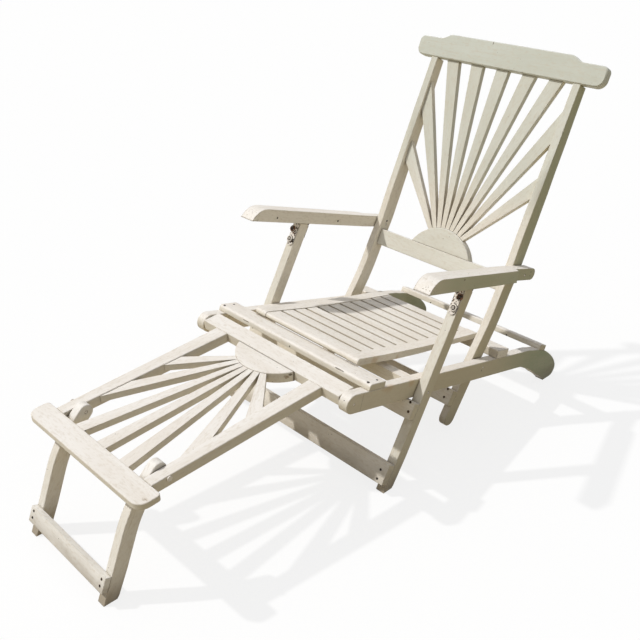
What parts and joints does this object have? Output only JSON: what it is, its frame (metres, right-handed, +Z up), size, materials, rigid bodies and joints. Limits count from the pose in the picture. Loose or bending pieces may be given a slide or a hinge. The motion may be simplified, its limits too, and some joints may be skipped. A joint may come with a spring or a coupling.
{
  "type": "steamer deck chair",
  "caption": "Folding wooden lounge chair with slatted seat, sunburst back and sunburst footrest, for patio or porch.",
  "frame": {"origin": "on the floor under the middle of the chair", "axes": "+Y from the foot end to the head end, +Z up, +X across towards the left arm of a sitter facing the foot end"},
  "size_m": [0.584, 1.441, 0.8958],
  "materials": {
    "painted_wood": "aged satin paint",
    "pivot_steel": "dull, lightly rusted"
  },
  "bodies": {
    "base": {"side_rail_right": "painted_wood", "side_rail_left": "painted_wood", "front_plank": "painted_wood", "seat_bar": "painted_wood", "tail_bar": "painted_wood", "mid_cross_rail": "painted_wood", "leg_bolt_right": "pivot_steel", "leg_bolt_left": "pivot_steel", "back_bolt_right": "pivot_steel", "back_bolt_left": "pivot_steel", "knuckle_pin_right": "pivot_steel", "knuckle_pin_left": "pivot_steel", "seat": "painted_wood"},
    "leg_frame": {"front_leg_right": "painted_wood", "front_leg_left": "painted_wood", "upper_leg_stretcher": "painted_wood", "lower_leg_stretcher": "painted_wood", "leg_hinge_right": "pivot_steel", "leg_hinge_left": "pivot_steel", "leg_strap_right": "pivot_steel", "leg_strap_left": "pivot_steel"},
    "back_frame": {"back_cross_rail": "painted_wood", "back_disc": "painted_wood", "back_ray_1": "painted_wood", "back_ray_2": "painted_wood", "back_ray_3": "painted_wood", "back_ray_4": "painted_wood", "back_ray_5": "painted_wood", "back_ray_6": "painted_wood", "back_ray_7": "painted_wood", "back_ray_8": "painted_wood", "back_ray_9": "painted_wood", "crest_rail": "painted_wood", "back_stile_right": "painted_wood", "back_stile_left": "painted_wood", "back_stretcher": "painted_wood", "arm_bolt_right": "pivot_steel", "arm_bolt_left": "pivot_steel"},
    "arms": {"arm_right": "painted_wood", "arm_left": "painted_wood", "arm_hinge_right": "pivot_steel", "arm_hinge_left": "pivot_steel"},
    "footrest": {"foot_head_rail": "painted_wood", "foot_side_rail_right": "painted_wood", "foot_side_rail_left": "painted_wood", "foot_front_board": "painted_wood", "foot_disc": "painted_wood", "foot_ray_1": "painted_wood", "foot_ray_2": "painted_wood", "foot_ray_3": "painted_wood", "foot_ray_4": "painted_wood", "foot_ray_5": "painted_wood", "foot_ray_6": "painted_wood", "foot_ray_7": "painted_wood", "foot_leg_pin_right": "pivot_steel", "foot_leg_pin_left": "pivot_steel"},
    "footrest_legs": {"foot_leg_right": "painted_wood", "foot_leg_left": "painted_wood", "foot_leg_plate": "painted_wood"}
  },
  "joints": [
    {"name": "back_fold", "type": "hinge", "parent": "base", "child": "back_frame", "pos_m": [0, 0.31665, 0.17383], "axis": [1, 0, 0], "range_deg": [0, 75]},
    {"name": "leg_fold", "type": "hinge", "parent": "base", "child": "leg_frame", "pos_m": [0, 0.05165, 0.21983], "axis": [1, 0, 0], "range_deg": [0, 75]},
    {"name": "arm_fold", "type": "hinge", "parent": "leg_frame", "child": "arms", "pos_m": [0, 0.17365, 0.43883], "axis": [1, 0, 0], "range_deg": [-75, 0]},
    {"name": "footrest_lift", "type": "hinge", "parent": "base", "child": "footrest", "pos_m": [0, -0.17545, 0.272], "axis": [1, 0, 0], "range_deg": [-60, 0]},
    {"name": "footrest_leg_fold", "type": "hinge", "parent": "footrest", "child": "footrest_legs", "pos_m": [0, -0.58234, 0.24666], "axis": [1, 0, 0], "range_deg": [0, 85]}
  ],
  "couplings": [
    {"joint": "leg_fold", "follows": "back_fold", "ratio": 1},
    {"joint": "arm_fold", "follows": "back_fold", "ratio": -1}
  ]
}
